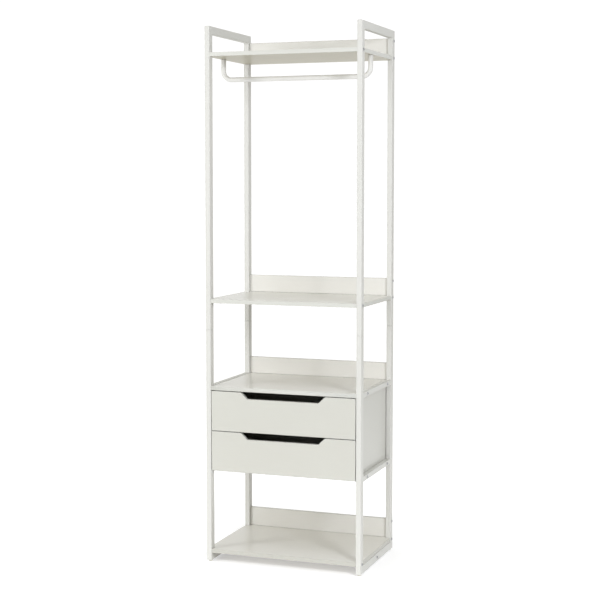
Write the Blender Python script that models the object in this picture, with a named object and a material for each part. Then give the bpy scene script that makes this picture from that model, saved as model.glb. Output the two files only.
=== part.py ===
"""Open wardrobe: two welded tube side frames, three shelves, a hanging rail and
a cabinet with two drawers.  Metres, +Z up, front of the object towards -Y,
origin on the floor in the middle of the footprint."""
import math

import bmesh
import bpy
from mathutils import Matrix, Vector

# ---------------------------------------------------------------- dimensions
WIDTH = 0.625            # over the outer faces of the side frames
DEPTH = 0.420
HEIGHT = 2.055           # over the feet
FOOT_H = 0.005           # round foot under each post
FOOT_R = 0.0075
TUBE_X = 0.020           # post section across the object
TUBE_Y = 0.030           # post section front to back
RAIL_H = 0.030           # top and bottom rail, height of section
BAR_H = 0.020            # cross-bar, height of section
WALL = 0.0015            # steel tube wall
BOARD = 0.015            # board thickness
TOUCH = 0.0003           # space left between pieces that touch
FRONT_SET = 0.0005       # boards sit this far behind the front of the posts

SPLIT_Z = 0.902          # joint between the lower and upper section of a side frame
SPIGOT_UP = 0.040        # plug of the lower section inside the upper posts
SPIGOT_DOWN = 0.030      # solid end of the lower posts
SPIGOT_GAP = 0.0003
LOWER_BAR_Z = 0.3515
UPPER_BAR_Z = 0.667
TOP_SHELF_Z = 1.941      # undersides of the boards
MIDDLE_SHELF_Z = 1.005
CABINET_TOP_Z = 0.670
CABINET_FLOOR_Z = 0.354

UPSTAND_TOP = {"top": 2.0255, "middle": 1.0885, "cabinet": 0.7525, "bottom": 0.126}
UPSTAND_SET = 0.012      # behind the front of the rear posts
UPSTAND_END = 0.0004     # space between an upstand's end and the post

SHELF_END_SET = 0.002    # shelf ends stay inside the outer face of the frame

PANEL_BACK_GAP = 0.0035  # cabinet side panel to rear post
BACK_T = 0.004           # cabinet back panel
BACK_SET = 0.004         # back panel behind the front of the rear posts

FRONT_SIDE_GAP = 0.0025  # drawer front to post
UPPER_FRONT_Z = (0.514, 0.667)
LOWER_FRONT_Z = (0.3585, 0.511)
PULL_TOP = 0.340         # finger cut-out, width at the top edge
PULL_BOTTOM = 0.288
PULL_DEPTH = 0.025
PULL_R = 0.009

BOX_T = 0.012            # drawer box boards
BOX_H = 0.100
BOX_LENGTH = 0.344
BOX_FLOOR_T = 0.004
BOX_FLOOR_UP = 0.006
UPPER_BOX_Z = 0.530
LOWER_BOX_Z = 0.377
GUIDE_T = 0.0015
GUIDE_H = 0.030
GUIDE_LEDGE = 0.013
GUIDE_RUN = 0.0005       # running space under the drawer box

ROD_R = 0.0095           # hanging rail tube
ROD_WALL = 0.0015
ROD_BEND = 0.033         # bend radius of the centre line
ROD_X = 0.298
ROD_Y = -0.060
ROD_Z = 1.8615
ROD_PLUG = 0.012         # closed end of each leg
ROD_STUD = 0.010         # stud on each leg, up into the top shelf
ROD_VENT = 0.0012        # vent hole through the stud
ROD_SIDES = 14

BATTEN_T = 0.015
BATTEN_H = 0.024

HEAD_R = 0.0055
HEAD_H = 0.0028
SOCKET_R = 0.0023
SOCKET_DEPTH = 0.0018
SHANK_R = 0.0030
HOLE_R = 0.0034
BOLT_L = 0.045           # below the head
HOLE_EXTRA = 0.001

X_OUT = WIDTH / 2
X_IN = X_OUT - TUBE_X
Y_FRONT = -DEPTH / 2
Y_REAR = DEPTH / 2
Y_FP = Y_FRONT + TUBE_Y  # back of the front posts
Y_RP = Y_REAR - TUBE_Y   # front of the rear posts
BOTTOM_SHELF_Z = FOOT_H + RAIL_H + TOUCH
BOARD_FRONT = Y_FRONT + FRONT_SET
UPSTAND_Y = Y_RP + UPSTAND_SET
BOARD_REAR = UPSTAND_Y + BOARD

# ---------------------------------------------------------------- materials


def material(name, colour, rough, metal=0.0):
    m = bpy.data.materials.new(name)
    m.use_nodes = True
    s = m.node_tree.nodes["Principled BSDF"]
    s.inputs["Base Color"].default_value = (*colour, 1.0)
    s.inputs["Roughness"].default_value = rough
    s.inputs["Metallic"].default_value = metal
    m.diffuse_color = (*colour, 1.0)
    return m


for stale in list(bpy.data.objects):
    bpy.data.objects.remove(stale, do_unlink=True)

FRAME_MAT = material("white_powder_coat", (0.82, 0.82, 0.80), 0.45)
BOARD_MAT = material("white_melamine", (0.78, 0.78, 0.74), 0.35)
BOX_MAT = material("dark_drawer_board", (0.150, 0.144, 0.136), 0.6)
BACK_MAT = material("white_hardboard", (0.74, 0.73, 0.69), 0.6)
ROD_MAT = material("white_rail_tube", (0.84, 0.84, 0.82), 0.35)
BOLT_MAT = material("zinc_bolt", (0.55, 0.55, 0.56), 0.35, 1.0)
GUIDE_MAT = material("zinc_angle", (0.60, 0.60, 0.60), 0.4, 1.0)

# ---------------------------------------------------------------- mesh helpers


def make(name, bm, mat, smooth=False):
    bmesh.ops.recalc_face_normals(bm, faces=bm.faces[:])
    me = bpy.data.meshes.new(name)
    bm.to_mesh(me)
    bm.free()
    me.materials.append(mat)
    if smooth:
        me.shade_smooth()
        me.set_sharp_from_angle(angle=math.radians(35))
    ob = bpy.data.objects.new(name, me)
    bpy.context.scene.collection.objects.link(ob)
    return ob


def add_box(bm, lo, hi):
    v = [bm.verts.new((x, y, z)) for x in (lo[0], hi[0]) for y in (lo[1], hi[1]) for z in (lo[2], hi[2])]
    for q in ((0, 1, 3, 2), (4, 6, 7, 5), (0, 4, 5, 1), (2, 3, 7, 6), (0, 2, 6, 4), (1, 5, 7, 3)):
        bm.faces.new([v[i] for i in q])


def box(name, lo, hi, mat):
    bm = bmesh.new()
    add_box(bm, lo, hi)
    return make(name, bm, mat)


def prism(name, outline, axis, lo, hi, mat):
    """Closed extrusion of a 2-D outline along X (outline in YZ), Y (XZ) or Z (XY)."""
    def put(a, b, c):
        return {"X": (c, a, b), "Y": (a, c, b), "Z": (a, b, c)}[axis]
    bm = bmesh.new()
    low = [bm.verts.new(put(a, b, lo)) for a, b in outline]
    high = [bm.verts.new(put(a, b, hi)) for a, b in outline]
    bm.faces.new(low)
    bm.faces.new(high)
    n = len(outline)
    for i in range(n):
        j = (i + 1) % n
        bm.faces.new((low[i], low[j], high[j], high[i]))
    return make(name, bm, mat)


def ladder(name, x0, x1, ys, zs, mat):
    """Flat ladder: columns between ys, rows between zs, the middle column open in every other row."""
    bm = bmesh.new()
    grid = [[bm.verts.new((x0, y, z)) for z in zs] for y in ys]
    faces = []
    for i in range(len(ys) - 1):
        for j in range(len(zs) - 1):
            if i == 1 and j % 2 == 1:
                continue
            faces.append(bm.faces.new((grid[i][j], grid[i + 1][j], grid[i + 1][j + 1], grid[i][j + 1])))
    out = bmesh.ops.extrude_face_region(bm, geom=faces, use_keep_orig=True)
    moved = [g for g in out["geom"] if isinstance(g, bmesh.types.BMVert)]
    bmesh.ops.translate(bm, verts=moved, vec=(x1 - x0, 0, 0))
    return make(name, bm, mat)


def rings_to_mesh(bm, rings, loop):
    n = len(rings[0])
    pairs = list(zip(rings[:-1], rings[1:]))
    if loop:
        pairs.append((rings[-1], rings[0]))
    for a, b in pairs:
        for k in range(n):
            m = (k + 1) % n
            bm.faces.new((a[k], a[m], b[m], b[k]))


def add_cylinder(bm, start, along, r, n=12):
    along = Vector(along)
    u = along.orthogonal().normalized()
    w = along.normalized().cross(u)
    rings = []
    for p in (Vector(start), Vector(start) + along):
        rings.append([bm.verts.new(p + r * (math.cos(2 * math.pi * k / n) * u + math.sin(2 * math.pi * k / n) * w))
                      for k in range(n)])
    rings_to_mesh(bm, rings, False)
    bm.faces.new(rings[0])
    bm.faces.new(rings[1])


def cut(target, bm, operation="DIFFERENCE"):
    """Take the bodies in bm out of target, or add them to it, and keep the result as plain mesh."""
    tool = make(target.name + "_cutter", bm, BOARD_MAT)
    mod = target.modifiers.new("cut", "BOOLEAN")
    mod.operation = operation
    mod.solver = "EXACT"
    mod.object = tool
    deps = bpy.context.evaluated_depsgraph_get()
    deps.update()
    result = bpy.data.meshes.new_from_object(target.evaluated_get(deps))
    mat = target.data.materials[0]
    target.modifiers.clear()
    target.data = result
    result.materials.clear()
    result.materials.append(mat)
    for p in result.polygons:
        p.material_index = 0
    bpy.data.objects.remove(tool, do_unlink=True)


def drill(target, holes):
    bm = bmesh.new()
    for start, along in holes:
        add_cylinder(bm, start, along, HOLE_R)
    cut(target, bm)


def bolt(name, seat, outward, length):
    """Button-head bolt with a hex socket; seat is the point under the head."""
    outward = Vector(outward).normalized()
    u = outward.orthogonal().normalized()
    w = outward.cross(u)
    n = 12

    def ring(r, h, hexagon=False):
        pts = []
        for k in range(n):
            a = 2 * math.pi * k / n
            rr = r * (math.cos(math.pi / 6) if hexagon and k % 2 else 1.0)
            pts.append(bm.verts.new(Vector(seat) + outward * h + rr * (math.cos(a) * u + math.sin(a) * w)))
        return pts
    bm = bmesh.new()
    rings = [ring(SOCKET_R, HEAD_H - SOCKET_DEPTH, True), ring(SOCKET_R, HEAD_H, True),
             ring(HEAD_R, HEAD_H * 0.45), ring(HEAD_R, TOUCH), ring(SHANK_R, TOUCH), ring(SHANK_R, -length)]
    rings_to_mesh(bm, rings, False)
    bm.faces.new(rings[0])
    bm.faces.new(rings[-1])
    return make(name, bm, BOLT_MAT, smooth=True)


# ---------------------------------------------------------------- fasteners
# (name stem, Y, Z) of every bolt through one side frame
ZS = {"top": TOP_SHELF_Z + BOARD / 2, "middle": MIDDLE_SHELF_Z + BOARD / 2, "bottom": BOTTOM_SHELF_Z + BOARD / 2}
FRONT_BOLT_Y = Y_FRONT + TUBE_Y / 2
REAR_BOLT_Y = UPSTAND_Y + BOARD / 2
BAR_BOLT_Y = 0.130
BAR_BOLT_Z = {"upper": CABINET_TOP_Z + BOARD / 2, "lower": CABINET_FLOOR_Z + BOARD / 2}
BATTEN_Z = FOOT_H + RAIL_H / 2
SIDE_BOLTS = []
for level in ("top", "middle", "bottom"):
    SIDE_BOLTS.append((level + "_shelf_front_bolt", FRONT_BOLT_Y, ZS[level]))
    SIDE_BOLTS.append((level + "_shelf_rear_bolt", REAR_BOLT_Y, ZS[level]))
    SIDE_BOLTS.append((level + "_upstand_bolt", REAR_BOLT_Y, UPSTAND_TOP[level] - 0.011))
for level in ("upper", "lower"):
    SIDE_BOLTS.append((level + "_bar_front_bolt", -BAR_BOLT_Y, BAR_BOLT_Z[level]))
    SIDE_BOLTS.append((level + "_bar_rear_bolt", BAR_BOLT_Y, BAR_BOLT_Z[level]))
SIDE_BOLTS.append(("batten_bolt", 0.0, BATTEN_Z))
SIDES = (("left", -1), ("right", 1))


def end_holes(pick):
    """Blind holes for the picked side bolts, from both ends of a board."""
    holes = []
    for stem, y, z in SIDE_BOLTS:
        if pick(stem):
            for _, s in SIDES:
                holes.append(((s * (X_OUT + 0.01), y, z), (-s * (BOLT_L + 0.01 + HOLE_EXTRA), 0, 0)))
    return holes


# ---------------------------------------------------------------- side frames
ys = [Y_FRONT, Y_FP, Y_RP, Y_REAR]
bore_ys = [y + (WALL if k % 2 == 0 else -WALL) for k, y in enumerate(ys)]
lower_zs = [FOOT_H, FOOT_H + RAIL_H, LOWER_BAR_Z, LOWER_BAR_Z + BAR_H, UPPER_BAR_Z, UPPER_BAR_Z + BAR_H, SPLIT_Z]
lower_bore = [z + (WALL if k % 2 == 0 else -WALL) for k, z in enumerate(lower_zs)]
lower_bore[-1] = SPLIT_Z - SPIGOT_DOWN
upper_zs = [HEIGHT, HEIGHT - RAIL_H, SPLIT_Z + TOUCH]
upper_bore = [HEIGHT - WALL, HEIGHT - RAIL_H + WALL, SPLIT_Z - WALL]
for side, s in SIDES:
    for part, zs, bore_zs in (("lower", lower_zs, lower_bore), ("upper", upper_zs, upper_bore)):
        frame = ladder(side + "_" + part + "_frame", s * X_IN, s * X_OUT, ys, zs, FRAME_MAT)
        bore = ladder(side + "_bore", s * (X_IN + WALL), s * (X_OUT - WALL), bore_ys, bore_zs, FRAME_MAT)
        bm = bmesh.new()
        bm.from_mesh(bore.data)
        bpy.data.objects.remove(bore, do_unlink=True)
        cut(frame, bm)
        if part == "lower":
            xs = sorted((s * (X_IN + WALL + SPIGOT_GAP), s * (X_OUT - WALL - SPIGOT_GAP)))
            bm = bmesh.new()
            for y0, y1 in (bore_ys[:2], bore_ys[2:]):
                add_box(bm, (xs[0], y0 + SPIGOT_GAP, SPLIT_Z - SPIGOT_DOWN / 2),
                        (xs[1], y1 - SPIGOT_GAP, SPLIT_Z + SPIGOT_UP))
                add_cylinder(bm, (s * (X_IN + X_OUT) / 2, (y0 + y1) / 2, 0.0), (0, 0, FOOT_H + WALL / 2), FOOT_R, 16)
            cut(frame, bm, "UNION")
        drill(frame, [((s * (X_IN - 0.01), y, z), (s * (TUBE_X + 0.02), 0, 0)) for _, y, z in SIDE_BOLTS
                      if (z < SPLIT_Z) == (part == "lower")])
    for stem, y, z in SIDE_BOLTS:
        bolt(stem + "_" + side, (s * X_OUT, y, z), (s, 0, 0), BOLT_L)

# ---------------------------------------------------------------- shelves
xe = X_OUT - SHELF_END_SET
xn = X_IN - TOUCH
yf = Y_FP + TOUCH
yr = Y_RP - TOUCH
SHELF_OUTLINE = [(-xn, BOARD_FRONT), (xn, BOARD_FRONT), (xn, yf), (xe, yf), (xe, yr), (xn, yr), (xn, BOARD_REAR),
                 (-xn, BOARD_REAR), (-xn, yr), (-xe, yr), (-xe, yf), (-xn, yf)]
SHELF_Z = {"top": TOP_SHELF_Z, "middle": MIDDLE_SHELF_Z, "bottom": BOTTOM_SHELF_Z}
for level, z in SHELF_Z.items():
    shelf = prism(level + "_shelf", SHELF_OUTLINE, "Z", z, z + BOARD, BOARD_MAT)
    holes = end_holes(lambda stem: stem.startswith(level + "_shelf_"))
    if level == "top":
        holes += [((s * ROD_X, ROD_Y, z - 0.01), (0, 0, 0.01 + ROD_STUD + HOLE_EXTRA)) for _, s in SIDES]
    drill(shelf, holes)
    up = box(level + "_shelf_upstand",
             (-(X_IN - UPSTAND_END), UPSTAND_Y, z + BOARD + TOUCH),
             (X_IN - UPSTAND_END, BOARD_REAR, UPSTAND_TOP[level]), BOARD_MAT)
    drill(up, end_holes(lambda stem: stem.startswith(level + "_upstand_")))

batten = box("bottom_shelf_batten", (-xn, -BATTEN_T / 2, BATTEN_Z - BATTEN_H / 2),
             (xn, BATTEN_T / 2, BATTEN_Z + BATTEN_H / 2), BOARD_MAT)
drill(batten, end_holes(lambda stem: stem == "batten_bolt"))

# ---------------------------------------------------------------- hanging rail
leg_top = TOP_SHELF_Z - TOUCH
path = [(Vector((-ROD_X, ROD_Y, leg_top)), Vector((0, 0, -1)))]
path.append((Vector((-ROD_X, ROD_Y, leg_top - ROD_PLUG)), Vector((0, 0, -1))))
STEPS = 7
for k in range(STEPS + 1):
    a = math.pi / 2 * k / STEPS
    path.append((Vector((-ROD_X + ROD_BEND * (1 - math.cos(a)), ROD_Y, ROD_Z + ROD_BEND * (1 - math.sin(a)))),
                 Vector((math.sin(a), 0, -math.cos(a)))))
for p, d in list(reversed(path)):
    path.append((Vector((-p.x, p.y, p.z)), Vector((d.x, 0, -d.z))))


def rod_ring(bm, p, d, r):
    side = Vector((0, 1, 0))
    up = d.cross(side)
    return [bm.verts.new(p + r * (math.cos(2 * math.pi * k / ROD_SIDES) * side
                                  + math.sin(2 * math.pi * k / ROD_SIDES) * up)) for k in range(ROD_SIDES)]


bm = bmesh.new()
rings = [rod_ring(bm, p, d, ROD_R) for k, (p, d) in enumerate(path) if k not in (1, len(path) - 2)]
stud = Vector((0, 0, ROD_STUD))
(p0, d0), (p1, d1) = path[0], path[-1]
rings += [rod_ring(bm, p1, d1, SHANK_R), rod_ring(bm, p1 + stud, d1, SHANK_R), rod_ring(bm, p1 + stud, d1, ROD_VENT),
          rod_ring(bm, *path[-2], ROD_VENT)]
rings += [rod_ring(bm, p, d, ROD_R - ROD_WALL) for p, d in reversed(path[1:-1])]
rings += [rod_ring(bm, *path[1], ROD_VENT), rod_ring(bm, p0 + stud, d0, ROD_VENT), rod_ring(bm, p0 + stud, d0, SHANK_R),
          rod_ring(bm, p0, d0, SHANK_R)]
rings_to_mesh(bm, rings, True)
make("hanging_rail", bm, ROD_MAT, smooth=True)

# ---------------------------------------------------------------- cabinet
panel_rear = Y_RP - PANEL_BACK_GAP
panel_front = BOARD_FRONT + BOARD + 0.0015
back_y = Y_RP + BACK_SET
top = box("cabinet_top", (-xn, BOARD_FRONT, CABINET_TOP_Z), (xn, BOARD_REAR, CABINET_TOP_Z + BOARD), BOARD_MAT)
drill(top, end_holes(lambda stem: stem.startswith("upper_bar_")))
floor = box("cabinet_floor", (-xn, panel_front, CABINET_FLOOR_Z), (xn, back_y - TOUCH, CABINET_FLOOR_Z + BOARD), BOARD_MAT)
drill(floor, end_holes(lambda stem: stem.startswith("lower_bar_")))
box("cabinet_upstand", (-(X_IN - UPSTAND_END), UPSTAND_Y, CABINET_TOP_Z + BOARD + TOUCH),
    (X_IN - UPSTAND_END, BOARD_REAR, UPSTAND_TOP["cabinet"]), BOARD_MAT)
panel_z = (CABINET_FLOOR_Z + BOARD + TOUCH, CABINET_TOP_Z - TOUCH)
panel_in = xn - BOARD
for side, s in SIDES:
    xs = sorted((s * panel_in, s * xn))
    box("cabinet_side_" + side, (xs[0], panel_front, panel_z[0]), (xs[1], panel_rear, panel_z[1]), BOARD_MAT)
box("cabinet_back", (-xn, back_y, CABINET_FLOOR_Z), (xn, back_y + BACK_T, CABINET_TOP_Z - TOUCH), BACK_MAT)

# ---------------------------------------------------------------- drawers


def corner(p, a, b, r, steps=4):
    """Points that round the corner at p between directions to a and b."""
    p, a, b = Vector(p), Vector(a), Vector(b)
    da, db = (a - p).normalized(), (b - p).normalized()
    half = da.angle(db) / 2
    t = r / math.tan(half)
    centre = p + (da + db).normalized() * (r / math.sin(half))
    s, e = p + da * t - centre, p + db * t - centre
    turn = s.angle(e)
    sign = 1 if s.x * e.y - s.y * e.x > 0 else -1
    out = []
    for k in range(steps + 1):
        q = s.copy()
        q.rotate(Matrix.Rotation(sign * turn * k / steps, 2))
        out.append(tuple(centre + q))
    return out


front_x = X_IN - FRONT_SIDE_GAP
box_out = panel_in - 2 * TOUCH - GUIDE_T - 0.0006
box_in = box_out - BOX_T
for drawer, (z0, z1), zb in (("upper", UPPER_FRONT_Z, UPPER_BOX_Z), ("lower", LOWER_FRONT_Z, LOWER_BOX_Z)):
    zc = z1 - PULL_DEPTH
    tl, bl = (-PULL_TOP / 2, z1), (-PULL_BOTTOM / 2, zc)
    tr, br = (PULL_TOP / 2, z1), (PULL_BOTTOM / 2, zc)
    outline = [(-front_x, z0), (front_x, z0), (front_x, z1)]
    outline += corner(tr, (front_x, z1), br, PULL_R)
    outline += corner(br, tr, bl, PULL_R)
    outline += corner(bl, br, tl, PULL_R)
    outline += corner(tl, bl, (-front_x, z1), PULL_R)
    outline.append((-front_x, z1))
    y0 = BOARD_FRONT + BOARD
    parts = [prism(drawer + "_drawer_front", outline, "Y", BOARD_FRONT, y0, BOARD_MAT)]
    y0 += TOUCH
    y1 = y0 + BOX_LENGTH
    for side, s in SIDES:
        xs = sorted((s * box_in, s * box_out))
        parts.append(box(drawer + "_drawer_side_" + side, (xs[0], y0, zb), (xs[1], y1, zb + BOX_H), BOX_MAT))
    xi = box_in - TOUCH
    parts.append(box(drawer + "_drawer_back", (-xi, y1 - BOX_T, zb), (xi, y1, zb + BOX_H), BOX_MAT))
    parts.append(box(drawer + "_drawer_bottom", (-xi, y0, zb + BOX_FLOOR_UP),
                     (xi, y1 - BOX_T - TOUCH, zb + BOX_FLOOR_UP + BOX_FLOOR_T), BOX_MAT))
    pivot = bpy.data.objects.new(drawer + "_drawer_slide", None)
    pivot.location = (0.0, BOARD_FRONT, (z0 + z1) / 2)
    bpy.context.scene.collection.objects.link(pivot)
    for p in parts:
        p.parent = pivot
        p.matrix_parent_inverse = Matrix.Translation(-pivot.location)
    ledge_top = zb - GUIDE_RUN
    for side, s in SIDES:
        xo = panel_in - TOUCH
        prof = [(s * xo, ledge_top - GUIDE_T), (s * xo, ledge_top - GUIDE_T + GUIDE_H),
                (s * (xo - GUIDE_T), ledge_top - GUIDE_T + GUIDE_H), (s * (xo - GUIDE_T), ledge_top),
                (s * (xo - GUIDE_LEDGE), ledge_top), (s * (xo - GUIDE_LEDGE), ledge_top - GUIDE_T)]
        prism(drawer + "_guide_" + side, prof, "Y", panel_front + 0.004, panel_rear - 0.010, GUIDE_MAT)

bpy.context.view_layer.update()
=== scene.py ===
"""Open wardrobe: visible pieces, materials, studio light and camera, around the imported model."""
import math

import bmesh
import bpy
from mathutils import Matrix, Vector
from mathutils.geometry import tessellate_polygon


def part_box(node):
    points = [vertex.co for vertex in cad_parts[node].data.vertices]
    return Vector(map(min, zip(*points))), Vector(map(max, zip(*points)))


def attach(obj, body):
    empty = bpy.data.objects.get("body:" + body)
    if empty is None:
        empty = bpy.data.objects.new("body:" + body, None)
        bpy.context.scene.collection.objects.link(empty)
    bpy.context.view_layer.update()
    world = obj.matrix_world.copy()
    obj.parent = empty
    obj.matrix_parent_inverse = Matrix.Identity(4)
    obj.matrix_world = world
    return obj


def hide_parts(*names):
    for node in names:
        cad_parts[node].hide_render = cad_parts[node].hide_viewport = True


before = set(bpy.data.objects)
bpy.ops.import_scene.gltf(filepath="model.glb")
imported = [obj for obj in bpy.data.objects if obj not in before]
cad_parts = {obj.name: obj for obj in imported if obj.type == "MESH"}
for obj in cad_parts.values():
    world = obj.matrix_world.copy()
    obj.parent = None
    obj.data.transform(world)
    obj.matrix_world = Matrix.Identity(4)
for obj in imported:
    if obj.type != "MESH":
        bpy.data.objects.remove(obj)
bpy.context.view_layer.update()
scene = bpy.context.scene

# ---------------------------------------------------------------- camera
FOCAL_PX = 1386.22
cam_data = bpy.data.cameras.new("camera")
cam_data.sensor_width = 36.0
cam_data.lens = FOCAL_PX / 600.0 * 36.0
cam_data.shift_y = -0.035
cam_data.clip_start, cam_data.clip_end = 0.05, 200.0
cam = bpy.data.objects.new("camera", cam_data)
scene.collection.objects.link(cam)
cam.location = (1.84155, -5.05112, 1.47582)
cam.rotation_euler = (math.radians(90.0 - 4.0958), 0.0, math.radians(20.0791))
scene.camera = cam

# ---------------------------------------------------------------- material helpers


def start(name):
    m = bpy.data.materials.new(name)
    m.use_nodes = True
    nt = m.node_tree
    return m, nt, nt.nodes["Principled BSDF"]


def coords(nt, scale=(1.0, 1.0, 1.0)):
    tc = nt.nodes.new("ShaderNodeTexCoord")
    mp = nt.nodes.new("ShaderNodeMapping")
    mp.inputs["Scale"].default_value = scale
    nt.links.new(tc.outputs["Object"], mp.inputs["Vector"])
    return mp.outputs["Vector"]


def noise(nt, co, scale, detail=2.0, rough=0.5):
    n = nt.nodes.new("ShaderNodeTexNoise")
    n.inputs["Scale"].default_value = scale
    n.inputs["Detail"].default_value = detail
    n.inputs["Roughness"].default_value = rough
    nt.links.new(co, n.inputs["Vector"])
    return n.outputs["Fac"]


def ramp(nt, fac, stops):
    r = nt.nodes.new("ShaderNodeValToRGB")
    while len(r.color_ramp.elements) < len(stops):
        r.color_ramp.elements.new(0.5)
    for e, (pos, col) in zip(r.color_ramp.elements, stops):
        e.position = pos
        e.color = (*col, 1.0)
    nt.links.new(fac, r.inputs["Fac"])
    return r.outputs["Color"]


def span(nt, fac, lo, hi, a=0.3, b=0.7):
    r = nt.nodes.new("ShaderNodeMapRange")
    r.inputs["From Min"].default_value = a
    r.inputs["From Max"].default_value = b
    r.inputs["To Min"].default_value = lo
    r.inputs["To Max"].default_value = hi
    nt.links.new(fac, r.inputs["Value"])
    return r.outputs["Result"]


def add(nt, a, b, wa=1.0, wb=1.0):
    def scaled(s, w):
        k = nt.nodes.new("ShaderNodeMath")
        k.operation = "MULTIPLY"
        k.inputs[1].default_value = w
        nt.links.new(s, k.inputs[0])
        return k.outputs["Value"]
    k = nt.nodes.new("ShaderNodeMath")
    k.operation = "ADD"
    nt.links.new(scaled(a, wa), k.inputs[0])
    nt.links.new(scaled(b, wb), k.inputs[1])
    return k.outputs["Value"]


def bump(nt, bsdf, height, distance, strength=1.0):
    b = nt.nodes.new("ShaderNodeBump")
    b.inputs["Distance"].default_value = distance
    b.inputs["Strength"].default_value = strength
    nt.links.new(height, b.inputs["Height"])
    nt.links.new(b.outputs["Normal"], bsdf.inputs["Normal"])


def tint(col, k, warm=0.0):
    return (col[0] * k * (1 + warm), col[1] * k, col[2] * k * (1 - warm))


def powder_coat(name, col, rough, peel=0.00002):
    """White stoved powder: broad tone, orange peel about 1.5 mm across, finer grit in the gloss."""
    m, nt, s = start(name)
    co = coords(nt)
    broad = noise(nt, co, 4.5, 3.0)
    wave = noise(nt, co, 620.0, 1.5)
    grit = noise(nt, co, 2400.0, 1.0)
    nt.links.new(ramp(nt, broad, ((0.30, tint(col, 0.992, 0.002)), (0.70, tint(col, 1.006)))), s.inputs["Base Color"])
    nt.links.new(span(nt, add(nt, broad, grit, 0.5, 0.5), rough - 0.05, rough + 0.05), s.inputs["Roughness"])
    bump(nt, s, add(nt, wave, grit, 0.8, 0.2), peel)
    return m


def melamine(name, col, rough, grain=(1.0, 1.0, 1.0), pores=0.000012, vary=1.0):
    """Board facing: cloudy tone, faint fibre showing through the paper, fine pores."""
    m, nt, s = start(name)
    co = coords(nt)
    broad = noise(nt, co, 3.0, 3.0)
    fibre = noise(nt, coords(nt, grain), 130.0, 3.0, 0.6)
    pore = noise(nt, co, 1700.0, 1.5)
    mix = add(nt, broad, fibre, 0.65, 0.35)
    nt.links.new(ramp(nt, mix, ((0.34, tint(col, 0.982, 0.004)), (0.66, tint(col, 1.014)))), s.inputs["Base Color"])
    nt.links.new(span(nt, add(nt, fibre, pore, 0.5, 0.5), rough - 0.04 * vary, rough + 0.05 * vary), s.inputs["Roughness"])
    bump(nt, s, add(nt, pore, fibre, 0.7, 0.3), pores)
    return m


def chipboard(name, light, dark):
    m, nt, s = start(name)
    co = coords(nt, (1.0, 2.2, 1.0))
    v = nt.nodes.new("ShaderNodeTexVoronoi")
    v.inputs["Scale"].default_value = 420.0
    nt.links.new(co, v.inputs["Vector"])
    chips = add(nt, v.outputs["Distance"], noise(nt, co, 900.0, 3.0), 0.6, 0.5)
    nt.links.new(ramp(nt, chips, ((0.25, dark), (0.50, tint(light, 0.8)), (0.75, light))), s.inputs["Base Color"])
    nt.links.new(span(nt, chips, 0.75, 0.92), s.inputs["Roughness"])
    bump(nt, s, chips, 0.00025)
    return m


def dark_board(name, col):
    m, nt, s = start(name)
    grain = noise(nt, coords(nt, (9.0, 1.0, 9.0)), 60.0, 4.0, 0.6)
    pore = noise(nt, coords(nt), 1500.0, 2.0)
    nt.links.new(ramp(nt, grain, ((0.3, tint(col, 0.75)), (0.7, tint(col, 1.25)))), s.inputs["Base Color"])
    nt.links.new(span(nt, add(nt, grain, pore, 0.5, 0.5), 0.50, 0.66), s.inputs["Roughness"])
    bump(nt, s, add(nt, grain, pore, 0.5, 0.5), 0.00003)
    return m


def hardboard(name, col):
    m, nt, s = start(name)
    weave = noise(nt, coords(nt), 520.0, 3.0, 0.65)
    broad = noise(nt, coords(nt), 5.0, 3.0)
    nt.links.new(ramp(nt, broad, ((0.3, tint(col, 0.97, 0.006)), (0.7, tint(col, 1.015)))), s.inputs["Base Color"])
    nt.links.new(span(nt, weave, 0.55, 0.70), s.inputs["Roughness"])
    bump(nt, s, weave, 0.00006)
    return m


def zinc(name, col, rough, spangle):
    """Zinc plate: crystal patches of slightly different tone, fine scratches in the gloss."""
    m, nt, s = start(name)
    co = coords(nt)
    v = nt.nodes.new("ShaderNodeTexVoronoi")
    v.inputs["Scale"].default_value = spangle
    nt.links.new(co, v.inputs["Vector"])
    bw = nt.nodes.new("ShaderNodeRGBToBW")
    nt.links.new(v.outputs["Color"], bw.inputs["Color"])
    scratch = noise(nt, coords(nt, (1.0, 14.0, 14.0)), 300.0, 2.0)
    nt.links.new(ramp(nt, bw.outputs["Val"], ((0.1, tint(col, 0.86)), (0.9, tint(col, 1.1, -0.01)))), s.inputs["Base Color"])
    nt.links.new(span(nt, add(nt, bw.outputs["Val"], scratch, 0.4, 0.6), rough - 0.09, rough + 0.10), s.inputs["Roughness"])
    s.inputs["Metallic"].default_value = 1.0
    bump(nt, s, scratch, 0.00001)
    return m


WHITE = (0.611, 0.607, 0.575)
BOARD = (0.686, 0.673, 0.632)
FRAME = powder_coat("frame_powder_coat", WHITE, 0.42)
RAIL = powder_coat("rail_lacquer", (0.672, 0.664, 0.634), 0.33, 0.000015)
FOOT = powder_coat("foot_plastic", (0.62, 0.60, 0.50), 0.45, 0.00003)
FACE = melamine("board_face", BOARD, 0.26, (0.25, 1.0, 1.0), 0.000002, 0.3)
# drawer fronts: a darker copy of the board colour, painted shade for the weaker light on the front faces low on the
# unit
FRONT_PAINTED_SHADE = melamine("drawer_face", (0.546, 0.542, 0.496), 0.36, (0.12, 1.0, 1.0))
# cabinet sides: a darker copy of the board colour, painted shade for the sideways-facing panels
PANEL_PAINTED_SHADE = melamine("cabinet_side_face", (0.570, 0.567, 0.528), 0.36, (1.0, 0.12, 1.0))
# undersides of shelves and cabinet boards: a darker, warmer copy of the board colour, painted shade for the faces
# under each board
UNDER_PAINTED_SHADE = melamine("board_underside", (0.385, 0.358, 0.270), 0.38, (0.12, 1.0, 1.0), 0.00002)
# edge band: a darker copy of the board colour, painted shade on the board edges
BAND = melamine("edge_band", (0.580, 0.580, 0.540), 0.30, (0.05, 1.0, 1.0), 0.000008)
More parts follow.
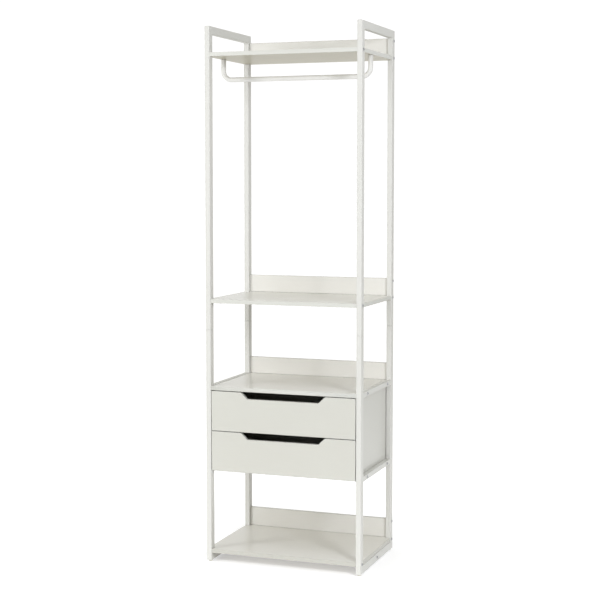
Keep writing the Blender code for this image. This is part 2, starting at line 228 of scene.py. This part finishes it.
# bottom shelf edges: a still darker copy of the edge band, painted shade for the edges near the floor
BOTTOM_EDGE_PAINTED_SHADE = melamine("edge_band_low", (0.470, 0.464, 0.420), 0.30, (0.05, 1.0, 1.0), 0.000008)
GLUE = melamine("glue_line", (0.40, 0.375, 0.33), 0.55)
RAW = chipboard("raw_board_end", (0.50, 0.40, 0.28), (0.20, 0.14, 0.085))
DARK = dark_board("drawer_box_board", (0.330, 0.322, 0.290))
BACK = hardboard("back_panel", (0.66, 0.65, 0.60))
BOLT = zinc("bolt_zinc_plate", (0.46, 0.46, 0.47), 0.34, 900.0)
GUIDE = zinc("guide_zinc_plate", (0.58, 0.58, 0.58), 0.38, 160.0)

# ---------------------------------------------------------------- mesh helpers


def fillet(points, radius, steps=4, only=None):
    """Rounds the corners of a closed 2-D loop; radius is one number, and only picks corners by index."""
    out = []
    n = len(points)
    for i, p in enumerate(points):
        p, a, b = Vector(p), Vector(points[i - 1]), Vector(points[(i + 1) % n])
        if only is not None and i not in only:
            out.append(p)
            continue
        da, db = (a - p).normalized(), (b - p).normalized()
        half = da.angle(db) / 2
        centre = p + (da + db).normalized() * (radius / math.sin(half))
        t = radius / math.tan(half)
        s, e = p + da * t - centre, p + db * t - centre
        a0 = math.atan2(s.y, s.x)
        turn = math.atan2(e.y, e.x) - a0
        turn = (turn + math.pi) % (2 * math.pi) - math.pi
        for k in range(steps + 1):
            q = a0 + turn * k / steps
            out.append(centre + radius * Vector((math.cos(q), math.sin(q))))
    return out


def rect(a0, b0, a1, b1):
    return [(a0, b0), (a1, b0), (a1, b1), (a0, b1)]


def inset(loop, d):
    """A closed loop moved to its left by d; outer loops run anticlockwise and holes clockwise, so that is into the material."""
    n = len(loop)
    out = []
    for i in range(n):
        p0, p1, p2 = loop[i - 1], loop[i], loop[(i + 1) % n]
        a, b = (p1 - p0).normalized(), (p2 - p1).normalized()
        na, nb = Vector((-a.y, a.x)), Vector((-b.y, b.x))
        out.append(p1 + (na + nb) * (d / (1.0 + na.dot(nb))))
    return out


def area(loop):
    return sum(p.x * q.y - q.x * p.y for p, q in zip(loop, loop[1:] + loop[:1])) / 2


def slab(name, loops, axis, lo, hi, r, mats, body, node, steps=3, seam=None):
    """A plate with rounded arrises. loops: outer outline, then holes. mats: low face, high face, edge, seam line.
    seam: (distance of a joint line from the outline, its width), drawn on both faces."""
    clean = []
    for k, loop in enumerate(loops):
        loop = [Vector(p) for p in loop]
        if (area(loop) > 0) != (k == 0):
            loop.reverse()
        clean.append(loop)

    def put(p, c):
        return {"X": (c, p.x, p.y), "Y": (p.x, c, p.y), "Z": (p.x, p.y, c)}[axis]
    prof = []                       # inset and height, from the low face to the high face
    if seam:
        prof += [(r + seam[0] + seam[1], lo), (r + seam[0], lo)]
    prof += [(r * (1 - math.sin(math.pi / 2 * k / steps)), lo + r * (1 - math.cos(math.pi / 2 * k / steps)))
             for k in range(steps + 1)]
    prof += [(d, lo + hi - z) for d, z in reversed(prof)]
    bm = bmesh.new()
    rings = [[[bm.verts.new(put(p, z)) for p in inset(loop, d)] for loop in clean] for d, z in prof]
    last = len(prof) - 2
    for j in range(len(prof) - 1):
        part = 2
        if seam and j in (0, last):
            part = 3
        elif seam and j in (1, last - 1):
            part = 4 if j == 1 else 5
        for a, b in zip(rings[j], rings[j + 1]):
            n = len(a)
            for k in range(n):
                m = (k + 1) % n
                f = bm.faces.new((a[k], a[m], b[m], b[k]))
                f.material_index = part
    for j, part in ((0, 0), (-1, 1)):
        d = prof[j][0]
        flat = [inset(loop, d) for loop in clean]
        verts = [v for loop in rings[j] for v in loop]
        for tri in tessellate_polygon([[(p.x, p.y, 0.0) for p in loop] for loop in flat]):
            f = bm.faces.new([verts[i] for i in tri])
            f.material_index = part
    bmesh.ops.recalc_face_normals(bm, faces=bm.faces[:])
    lo_m, hi_m, edge = mats[:3]
    line = mats[3] if len(mats) > 3 else edge
    return finish_piece(name, bm, [lo_m, hi_m, edge, line, edge, edge], body, node)


def finish_piece(name, bm, mats, body, node, weighted=True):
    me = bpy.data.meshes.new(name)
    bm.to_mesh(me)
    bm.free()
    for m in mats:
        me.materials.append(m)
    me.shade_smooth()
    ob = bpy.data.objects.new(name, me)
    scene.collection.objects.link(ob)
    if weighted:
        w = ob.modifiers.new("normals", "WEIGHTED_NORMAL")
        w.weight = 90
        w.keep_sharp = True
    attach(ob, body)
    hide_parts(node)
    return ob


def board(name, node, body="stand", r=0.0006, mats=None, axis=None, seam=(0.0006, 0.0002)):
    """A rectangular board from its node's box; its thin direction is found from the box."""
    lo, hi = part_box(node)
    size = hi - lo
    axis = axis or "XYZ"[min(range(3), key=lambda k: size[k])]
    c = "XYZ".index(axis)
    a, b = [k for k in range(3) if k != c]
    outline = rect(lo[a], lo[b], hi[a], hi[b])
    mats = mats or (FACE, FACE, BAND, GLUE)
    return slab(name, [outline], axis, lo[c], hi[c], r, mats, body, node, seam=seam)


def paint_ends(ob, axis, mat, tol=0.9):
    """Puts another material on the faces that look along an axis, except the narrow rounded arrises."""
    ob.data.materials.append(mat)
    k = len(ob.data.materials) - 1
    for p in ob.data.polygons:
        if abs(p.normal["XYZ".index(axis)]) > tol:
            p.material_index = k


# ---------------------------------------------------------------- side frames
TUBE_R = 0.0020
CORNER = 0.0021
WELD = 0.0030
FOOT_H, FOOT_R = 0.005, 0.0075
SPLIT_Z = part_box("left_upper_frame")[0].z - 0.0008


def frame_piece(side, part):
    """Welded ladder of tube; the ends at the joint between the sections are sawn square, with the burr taken off."""
    node = f"{side}_{part}_frame"
    lo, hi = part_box(node)
    y0, y1 = lo.y, hi.y
    f, b = y0 + 0.030, y1 - 0.030
    past = TUBE_R - 0.0003
    if part == "lower":
        z0, top = lo.z + FOOT_H, SPLIT_Z + past
        bars = ((0.3515, 0.3715), (0.667, 0.687))
        outer = [(y0, z0), (y1, z0), (y1, top), (b, top), (b, bars[1][1]), (f, bars[1][1]), (f, top), (y0, top)]
        outer = soften(outer, (4, 5), (2, 3, 6, 7))
        holes = [fillet(rect(f, z0 + 0.030, b, bars[0][0]), WELD, 4), fillet(rect(f, bars[0][1], b, bars[1][0]), WELD, 4)]
    else:
        z0, top = lo.z - past, hi.z
        rail = top - 0.030
        outer = [(y0, z0), (f, z0), (f, rail), (b, rail), (b, z0), (y1, z0), (y1, top), (y0, top)]
        outer = soften(outer, (2, 3), (0, 1, 4, 5))
        holes = []
    ob = slab(f"frame_{side}_{part}", [outer] + holes, "X", lo.x, hi.x, TUBE_R, (FRAME, FRAME, FRAME), "stand", node,
              steps=4)
    for v in ob.data.vertices:
        if part == "lower":
            v.co.z = min(v.co.z, SPLIT_Z)
        else:
            v.co.z = max(v.co.z, lo.z)
    ob.data.set_sharp_from_angle(angle=math.radians(60))


def soften(points, inner, square):
    """Small radius on outer corners, a weld fillet on the inner ones and none on the square ones."""
    n = len(points)
    out = []
    for i in range(n):
        if i in square:
            out.append(Vector(points[i]))
            continue
        part = fillet(points, WELD if i in inner else CORNER, 4, only={i})
        k = len(part) - n + 1
        out += part[i:i + k]
    return out


def foot(side, end):
    """Round foot under a post, its lower edge rounded."""
    node = side + "_lower_frame"
    lo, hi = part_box(node)
    x = (lo.x + hi.x) / 2
    y = lo.y + 0.015 if end == "front" else hi.y - 0.015
    prof = [(FOOT_R, FOOT_H), (FOOT_R, 0.0012)]
    prof += [(FOOT_R - 0.0012 * (1 - math.cos(math.pi / 2 * k / 4)), 0.0012 * (1 - math.sin(math.pi / 2 * k / 4)))
             for k in range(1, 5)]
    n = 32
    bm = bmesh.new()
    rings = [[bm.verts.new((x + r * math.cos(2 * math.pi * k / n), y + r * math.sin(2 * math.pi * k / n), lo.z + z))
              for k in range(n)] for r, z in prof]
    for a, c in zip(rings, rings[1:]):
        for k in range(n):
            m = (k + 1) % n
            bm.faces.new((a[k], a[m], c[m], c[k]))
    bm.faces.new(rings[0])
    bm.faces.new(rings[-1])
    bmesh.ops.recalc_face_normals(bm, faces=bm.faces[:])
    ob = finish_piece(f"foot_{side}_{end}", bm, [FOOT], "stand", node, weighted=False)
    ob.data.set_sharp_from_angle(angle=math.radians(50))


for side in ("left", "right"):
    for part in ("lower", "upper"):
        frame_piece(side, part)
    for end in ("front", "rear"):
        foot(side, end)

# ---------------------------------------------------------------- shelves
# the low face of each board takes the painted-shade underside colour
SHELF_MATS = (UNDER_PAINTED_SHADE, FACE, BAND, GLUE)
for level in ("top", "middle", "bottom"):
    node = level + "_shelf"
    lo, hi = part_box(node)
    xe, xn, yf, yr = hi.x, 0.2922, -0.1797, 0.1797
    outline = [(-xn, lo.y), (xn, lo.y), (xn, yf), (xe, yf), (xe, yr), (xn, yr), (xn, hi.y), (-xn, hi.y), (-xn, yr),
               (-xe, yr), (-xe, yf), (-xn, yf)]
    # the bottom shelf's edges take the painted-shade darker band
    mats = (UNDER_PAINTED_SHADE, FACE, BOTTOM_EDGE_PAINTED_SHADE, GLUE) if level == "bottom" else SHELF_MATS
    slab("board_" + node, [outline], "Z", lo.z, hi.z, 0.0006, mats, "stand", node, seam=(0.0006, 0.0002))
    up = board("board_" + level + "_upstand", node + "_upstand")
    paint_ends(up, "X", RAW)
up = board("board_cabinet_upstand", "cabinet_upstand")
paint_ends(up, "X", RAW)
batten = board("board_batten", "bottom_shelf_batten", axis="Y")
paint_ends(batten, "X", RAW)

# ---------------------------------------------------------------- cabinet
board("board_cabinet_top", "cabinet_top", mats=SHELF_MATS)
board("board_cabinet_floor", "cabinet_floor", mats=SHELF_MATS)
for side in ("left", "right"):
    # the cabinet sides take the painted-shade darker panel colour on both faces
    board("board_cabinet_" + side, "cabinet_side_" + side, mats=(PANEL_PAINTED_SHADE, PANEL_PAINTED_SHADE, BAND, GLUE))
board("panel_cabinet_back", "cabinet_back", r=0.0004, mats=(FACE, BACK, RAW), seam=None)

# ---------------------------------------------------------------- hanging rail
ROD_R, BEND, ROD_X, ROD_Y, ROD_Z, STUD = 0.0095, 0.033, 0.298, -0.060, 1.8615, 0.010
SIDES_N = 32


def hanging_rail():
    leg_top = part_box("top_shelf")[0].z - 0.0003
    half = [(Vector((-ROD_X, ROD_Y, leg_top + STUD)), Vector((0, 0, -1)), 0.0030),
            (Vector((-ROD_X, ROD_Y, leg_top)), Vector((0, 0, -1)), 0.0030),
            (Vector((-ROD_X, ROD_Y, leg_top)), Vector((0, 0, -1)), ROD_R - 0.0002),
            (Vector((-ROD_X, ROD_Y, leg_top - 0.0002)), Vector((0, 0, -1)), ROD_R)]
    steps = 18
    for k in range(steps + 1):
        a = math.pi / 2 * k / steps
        # a drawn tube flattens a little on the way round the bend
        r = ROD_R * (1 - 0.012 * math.sin(2 * a))
        half.append((Vector((-ROD_X + BEND * (1 - math.cos(a)), ROD_Y, ROD_Z + BEND * (1 - math.sin(a)))),
                     Vector((math.sin(a), 0, -math.cos(a))), r))
    for x in (-0.17, -0.085, 0.0):
        half.append((Vector((x, ROD_Y, ROD_Z)), Vector((1, 0, 0)), ROD_R))
    path = half + [(Vector((-p.x, p.y, p.z)), Vector((d.x, 0, -d.z)), r) for p, d, r in reversed(half[:-1])]
    bm = bmesh.new()
    rings = []
    for p, d, r in path:
        side = Vector((0, 1, 0))
        up = d.cross(side)
        rings.append([bm.verts.new(p + r * (math.cos(2 * math.pi * k / SIDES_N) * side + math.sin(2 * math.pi * k / SIDES_N) * up))
                      for k in range(SIDES_N)])
    for a, b in zip(rings, rings[1:]):
        for k in range(SIDES_N):
            m = (k + 1) % SIDES_N
            bm.faces.new((a[k], a[m], b[m], b[k]))
    bm.faces.new(rings[0])
    bm.faces.new(rings[-1])
    bmesh.ops.recalc_face_normals(bm, faces=bm.faces[:])
    ob = finish_piece("rail_hanging", bm, [RAIL], "stand", "hanging_rail", weighted=False)
    ob.data.set_sharp_from_angle(angle=math.radians(50))


hanging_rail()

# ---------------------------------------------------------------- bolts
HEAD_R, HEAD_H, SOCKET_R, SOCKET_D, SHANK_R, BOLT_L = 0.0055, 0.0028, 0.0023, 0.0018, 0.0030, 0.045


def bolt(node):
    """Button-head bolt: domed head with a rim, broken edge round a hex socket, shank behind."""
    lo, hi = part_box(node)
    s = 1.0 if hi.x > 0 else -1.0
    seat = 0.3125 * s
    y, z = (lo.y + hi.y) / 2, (lo.z + hi.z) / 2
    n = 24

    def hexagon(a):
        t = (a + math.pi / 6) % (math.pi / 3) - math.pi / 6
        return math.cos(math.pi / 6) / math.cos(t)
    prof = [(SHANK_R, -BOLT_L, 0), (SHANK_R, 0.0003, 0), (HEAD_R - 0.0003, 0.0003, 0), (HEAD_R, 0.0006, 0)]
    for k in range(6):
        a = math.pi / 2 * (0.14 + 0.62 * k / 5)
        prof.append((HEAD_R * math.cos(a) ** 0.9, 0.0006 + (HEAD_H - 0.0006) * math.sin(a) / math.sin(math.pi / 2 * 0.76), 0))
    prof += [(SOCKET_R + 0.00025, HEAD_H, 0.6), (SOCKET_R, HEAD_H - 0.00022, 1), (SOCKET_R, HEAD_H - SOCKET_D, 1),
             (SOCKET_R * 0.45, HEAD_H - SOCKET_D - 0.0003, 0.4)]
    bm = bmesh.new()
    rings = []
    for r, h, hexed in prof:
        ring = []
        for k in range(n):
            a = 2 * math.pi * k / n
            rr = r * (1 - hexed + hexed * hexagon(a))
            ring.append(bm.verts.new((seat + s * h, y + rr * math.cos(a), z + rr * math.sin(a))))
        rings.append(ring)
    for a, b in zip(rings, rings[1:]):
        for k in range(n):
            m = (k + 1) % n
            bm.faces.new((a[k], a[m], b[m], b[k]))
    bm.faces.new(rings[0])
    bm.faces.new(rings[-1])
    bmesh.ops.recalc_face_normals(bm, faces=bm.faces[:])
    ob = finish_piece(node.replace("_bolt", "") + "_screw", bm, [BOLT], "stand", node, weighted=False)
    ob.data.set_sharp_from_angle(angle=math.radians(38))


for node in sorted(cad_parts):
    if "_bolt_" in node:
        bolt(node)

# ---------------------------------------------------------------- drawers
PULL_TOP, PULL_BOTTOM, PULL_DEPTH, PULL_R = 0.340, 0.288, 0.025, 0.009
for drawer in ("upper", "lower"):
    body = drawer + "_drawer"
    node = body + "_front"
    lo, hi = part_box(node)
    zc = hi.z - PULL_DEPTH
    t, u = PULL_TOP / 2, PULL_BOTTOM / 2
    outline = [(lo.x, lo.z), (hi.x, lo.z), (hi.x, hi.z), (t, hi.z), (u, zc), (-u, zc), (-t, hi.z), (lo.x, hi.z)]
    outline = fillet(outline, PULL_R, 10, only={3, 4, 5, 6})
    # the outer face of the drawer front takes the painted-shade darker drawer colour
    slab("front_" + drawer, [outline], "Y", lo.y, hi.y, 0.0008, (FRONT_PAINTED_SHADE, FACE, BAND, GLUE), body, node,
         seam=(0.0006, 0.0002))
    for part in ("side_left", "side_right", "back", "bottom"):
        board(f"box_{drawer}_{part}", f"{body}_{part}", body, 0.0005, (DARK, DARK, DARK), seam=None)
    for side in ("left", "right"):
        node = f"{drawer}_guide_{side}"
        lo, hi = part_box(node)
        s = 1 if hi.x > 0 else -1
        xo, xi, th = max(abs(lo.x), abs(hi.x)), min(abs(lo.x), abs(hi.x)), 0.0015
        prof = [(s * xo, lo.z), (s * xo, hi.z), (s * (xo - th), hi.z), (s * (xo - th), lo.z + th), (s * xi, lo.z + th), (s * xi, lo.z)]
        slab(f"guide_{drawer}_{side}", [prof], "Y", lo.y, hi.y, 0.0003, (GUIDE, GUIDE, GUIDE), "stand", node, steps=2)

# ---------------------------------------------------------------- studio
FLOOR_GLOW = 0.52
floor_mat, nt, s = start("studio_floor")
co = coords(nt)
# painted light: the floor glows by emission over the sweep under and behind the set, and the glow fades to an unlit
# pale floor in front of the set
sep = nt.nodes.new("ShaderNodeSeparateXYZ")
nt.links.new(co, sep.inputs["Vector"])
along = span(nt, sep.outputs["Y"], 0.0, 1.0, -1.35, 1.15)
tone = add(nt, along, noise(nt, co, 1.2, 3.0), 0.98, 0.02)
nt.links.new(ramp(nt, tone, ((0.0, (0.48, 0.48, 0.48)), (0.2, (0.79, 0.79, 0.79)), (0.6, (0.79, 0.79, 0.79)),
                             (0.95, (0.88, 0.88, 0.88)))), s.inputs["Base Color"])
glow_mask = ramp(nt, along, ((0.0, (0.0, 0.0, 0.0)), (0.2, (0.69, 0.69, 0.69)), (0.6, (0.69, 0.69, 0.69)), (0.95, (1.0, 1.0, 1.0))))
# the painted glow also fades out to the right of it
aside = nt.nodes.new("ShaderNodeVectorMath")
aside.operation = "DOT_PRODUCT"
aside.inputs[1].default_value = (0.990, 0.138, 0.0)
nt.links.new(co, aside.inputs[0])
edge = nt.nodes.new("ShaderNodeMath")
edge.operation = "MULTIPLY"
nt.links.new(glow_mask, edge.inputs[0])
nt.links.new(span(nt, aside.outputs["Value"], 1.0, 0.0, 1.15, 2.10), edge.inputs[1])
glow_mask = edge.outputs["Value"]
s.inputs["Roughness"].default_value = 0.85
s.inputs["Specular IOR Level"].default_value = 0.1
s.inputs["Emission Color"].default_value = (0.96, 0.96, 1.0, 1.0)
nt.links.new(span(nt, glow_mask, 0.0, FLOOR_GLOW, 0.0, 1.0), s.inputs["Emission Strength"])
bm = bmesh.new()
bmesh.ops.create_grid(bm, x_segments=24, y_segments=24, size=60.0)
me = bpy.data.meshes.new("studio_floor")
bm.to_mesh(me)
bm.free()
me.materials.append(floor_mat)
floor = bpy.data.objects.new("studio_floor", me)
scene.collection.objects.link(floor)
floor.location.z = -0.0002

world = bpy.data.worlds.new("studio")
scene.world = world
world.use_nodes = True
nt = world.node_tree
nt.nodes.remove(nt.nodes["Background"])
tc = nt.nodes.new("ShaderNodeTexCoord")
sep = nt.nodes.new("ShaderNodeSeparateXYZ")
nt.links.new(tc.outputs["Generated"], sep.inputs["Vector"])


def world_math(op, a, b):
    k = nt.nodes.new("ShaderNodeMath")
    k.operation = op
    for i, v in enumerate((a, b)):
        if isinstance(v, (int, float)):
            k.inputs[i].default_value = v
        else:
            nt.links.new(v, k.inputs[i])
    return k.outputs["Value"]


def glow_part(strength, scale, colour):
    b = nt.nodes.new("ShaderNodeBackground")
    b.inputs["Color"].default_value = (*colour, 1.0)
    nt.links.new(world_math("MULTIPLY", strength, scale), b.inputs["Strength"])
    return b.outputs["Background"]


def both(a, b):
    k = nt.nodes.new("ShaderNodeAddShader")
    nt.links.new(a, k.inputs[0])
    nt.links.new(b, k.inputs[1])
    return k.outputs["Shader"]


# a warm tent, dimmer at the rear right, a low white wall behind the set and a wide soft light in front of it
TENT, TENT_TOP, TENT_RIGHT, WALL, KEY = 0.560, 0.320, -0.370, 1.06, 0.85
x, y, z = sep.outputs["X"], sep.outputs["Y"], sep.outputs["Z"]
behind = nt.nodes.new("ShaderNodeVectorMath")
behind.operation = "DOT_PRODUCT"
behind.inputs[1].default_value = (-0.17, 0.985, 0.0)
nt.links.new(tc.outputs["Generated"], behind.inputs[0])
wall = nt.nodes.new("ShaderNodeMapRange")
wall.interpolation_type = "SMOOTHSTEP"
wall.inputs["From Min"].default_value = 0.58
wall.inputs["From Max"].default_value = 0.82
nt.links.new(behind.outputs["Value"], wall.inputs["Value"])
low = nt.nodes.new("ShaderNodeMapRange")
low.interpolation_type = "SMOOTHSTEP"
low.inputs["From Min"].default_value = 0.22
low.inputs["From Max"].default_value = 0.42
low.inputs["To Min"].default_value = 1.0
low.inputs["To Max"].default_value = 0.0
nt.links.new(z, low.inputs["Value"])
wall = world_math("MULTIPLY", wall.outputs["Result"], low.outputs["Result"])
up = world_math("MAXIMUM", z, 0.0)
tent = world_math("ADD", world_math("MULTIPLY", world_math("MULTIPLY", up, up), TENT_TOP), TENT)
corner = nt.nodes.new("ShaderNodeVectorMath")
corner.operation = "DOT_PRODUCT"
corner.inputs[1].default_value = (0.6, 0.8, 0.0)
nt.links.new(tc.outputs["Generated"], corner.inputs[0])
tent = world_math("ADD", tent, world_math("MULTIPLY", world_math("MAXIMUM", corner.outputs["Value"], 0.0), TENT_RIGHT))
key = world_math("POWER", world_math("MAXIMUM", world_math("MULTIPLY", y, -1.0), 0.0), 8.0)
parts = glow_part(wall, WALL, (1.0, 1.0, 1.0))
parts = both(parts, glow_part(world_math("MULTIPLY", world_math("SUBTRACT", 1.0, wall), tent), 1.0, (1.0, 1.0, 0.935)))
parts = both(parts, glow_part(key, KEY, (0.93, 0.955, 1.0)))
nt.links.new(parts, nt.nodes["World Output"].inputs["Surface"])


def softbox(name, where, look_at, size, power, colour=(1.0, 1.0, 1.0)):
    light = bpy.data.lights.new(name, "AREA")
    light.shape = "RECTANGLE"
    light.size, light.size_y = size
    light.energy = power
    light.color = colour
    ob = bpy.data.objects.new(name, light)
    scene.collection.objects.link(ob)
    ob.location = where
    ob.rotation_euler = (Vector(look_at) - Vector(where)).to_track_quat("-Z", "Y").to_euler()


# two softboxes at 45 degrees, and weaker fill on the left and from above
softbox("softbox_left", (-2.45, -2.4, 2.05), (0, 0, 1.1), (0.8, 1.0), 30.0, (0.968, 0.973, 1.0))
softbox("softbox_right", (2.45, -2.4, 2.10), (0, 0, 1.1), (0.8, 1.0), 66.0, (0.914, 0.932, 1.0))
softbox("softbox_left_low", (-2.45, -2.4, 1.3), (0, 0, 1.0), (0.8, 1.0), 20.0, (0.984, 0.989, 1.0))
softbox("softbox_top", (0.0, -0.8, 4.6), (0, 0, 1.0), (2.4, 2.0), 5.6)

scene.view_settings.view_transform = "Standard"
scene.view_settings.look = "None"
scene.view_settings.exposure = 0.0
scene.view_settings.gamma = 1.0

# ---------------------------------------------------------------- update the view layer
bpy.context.view_layer.update()
